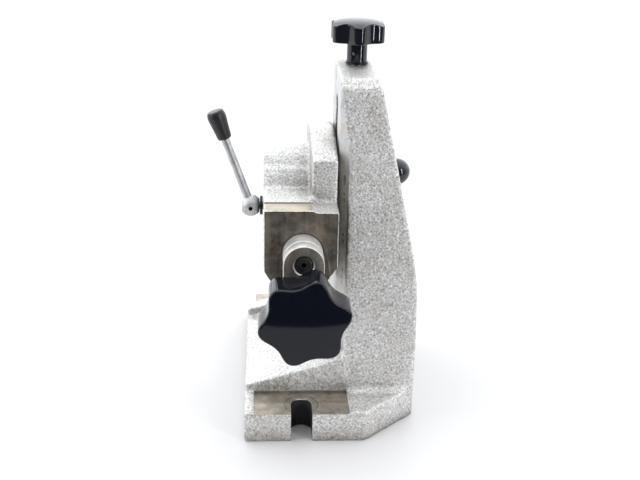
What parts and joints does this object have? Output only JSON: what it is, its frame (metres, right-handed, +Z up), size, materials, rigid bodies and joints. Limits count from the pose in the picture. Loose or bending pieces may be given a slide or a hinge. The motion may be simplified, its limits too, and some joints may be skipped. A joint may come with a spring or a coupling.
{
  "type": "adjustable tailstock",
  "caption": "Adjustable-height tailstock for a dividing head: slotted base and column, tilting head, quill with screw feed, quill lock and height screw.",
  "frame": {"origin": "middle of the base's underside between the two bolt slots, straight below the quill axis", "axes": "+Z up, +Y along the quill from the feed knob to the centre point, +X from the quill to the column"},
  "size_m": [0.1529, 0.2348, 0.281],
  "materials": {
    "hammer_paint": "silver hammertone paint on rough cast iron, milled bare on the working faces",
    "milled_iron": "bare milled steel, slightly oily brown",
    "bright_steel": "ground bright steel",
    "dark_steel": "black oxide steel",
    "black_gloss": "glossy black phenolic plastic",
    "black_satin": "satin black plastic",
    "bronze": "plain bearing bronze"
  },
  "bodies": {
    "column": {"column_casting": "hammer_paint", "bearing_grub_screw": "dark_steel", "screw_foot_bush": "bronze"},
    "height_screw_set": {"height_screw": "bright_steel", "height_knob": "black_gloss", "height_knob_pin": "dark_steel", "height_screw_washer": "dark_steel", "height_screw_collar": "dark_steel", "height_collar_pin": "bright_steel"},
    "lift": {"lift_block": "milled_iron", "clamp_stud": "dark_steel", "clamp_stud_washer": "bright_steel", "clamp_washer": "bright_steel"},
    "clamp_lever": {"clamp_hub": "dark_steel", "clamp_rod": "bright_steel", "clamp_ball": "black_gloss"},
    "head": {"head_casting": "hammer_paint", "lock_plug_outer": "milled_iron", "lock_plug_inner": "milled_iron", "lock_stud": "bright_steel"},
    "lock_lever": {"lock_hub": "bright_steel", "lock_collar": "dark_steel", "lock_rod": "bright_steel", "lock_grip": "black_satin"},
    "quill_set": {"quill": "milled_iron", "centre_point": "bright_steel", "quill_arm": "milled_iron", "arm_screw": "dark_steel", "arm_pin": "bright_steel"},
    "feed_set": {"feed_screw": "bright_steel", "feed_knob": "black_gloss", "feed_knob_insert": "bronze", "feed_thrust_washer": "bright_steel", "feed_collar": "dark_steel", "feed_collar_pin": "bright_steel"}
  },
  "joints": [
    {"name": "height_turn", "type": "hinge", "parent": "column", "child": "height_screw_set", "pos_m": [0.0407, 0.014, 0.25], "axis": [0, 0, 1], "range_deg": [-9610, 5290]},
    {"name": "head_lift", "type": "slide", "parent": "column", "child": "lift", "axis": [0, 0, 1], "range_m": [-0.022, 0.04]},
    {"name": "clamp_turn", "type": "hinge", "parent": "lift", "child": "clamp_lever", "pos_m": [0.06, 0, 0.167], "axis": [1, 0, 0], "range_deg": [-20, 160]},
    {"name": "head_tilt", "type": "hinge", "parent": "lift", "child": "head", "pos_m": [0, 0, 0.167], "axis": [1, 0, 0], "range_deg": [-12, 12]},
    {"name": "lock_turn", "type": "hinge", "parent": "head", "child": "lock_lever", "pos_m": [-0.0363, -0.025, 0.152], "axis": [1, 0, 0], "range_deg": [-60, 60]},
    {"name": "quill_slide", "type": "slide", "parent": "head", "child": "quill_set", "axis": [0, 1, 0], "range_m": [-0.015, 0.0115]},
    {"name": "feed_turn", "type": "hinge", "parent": "quill_set", "child": "feed_set", "pos_m": [0, -0.118, 0.1066], "axis": [0, 1, 0], "range_deg": [-3095, 2375]}
  ],
  "couplings": [
    {"joint": "height_turn", "follows": "head_lift", "rad_per_m": -4188.8},
    {"joint": "feed_turn", "follows": "quill_slide", "rad_per_m": 3590.4}
  ]
}
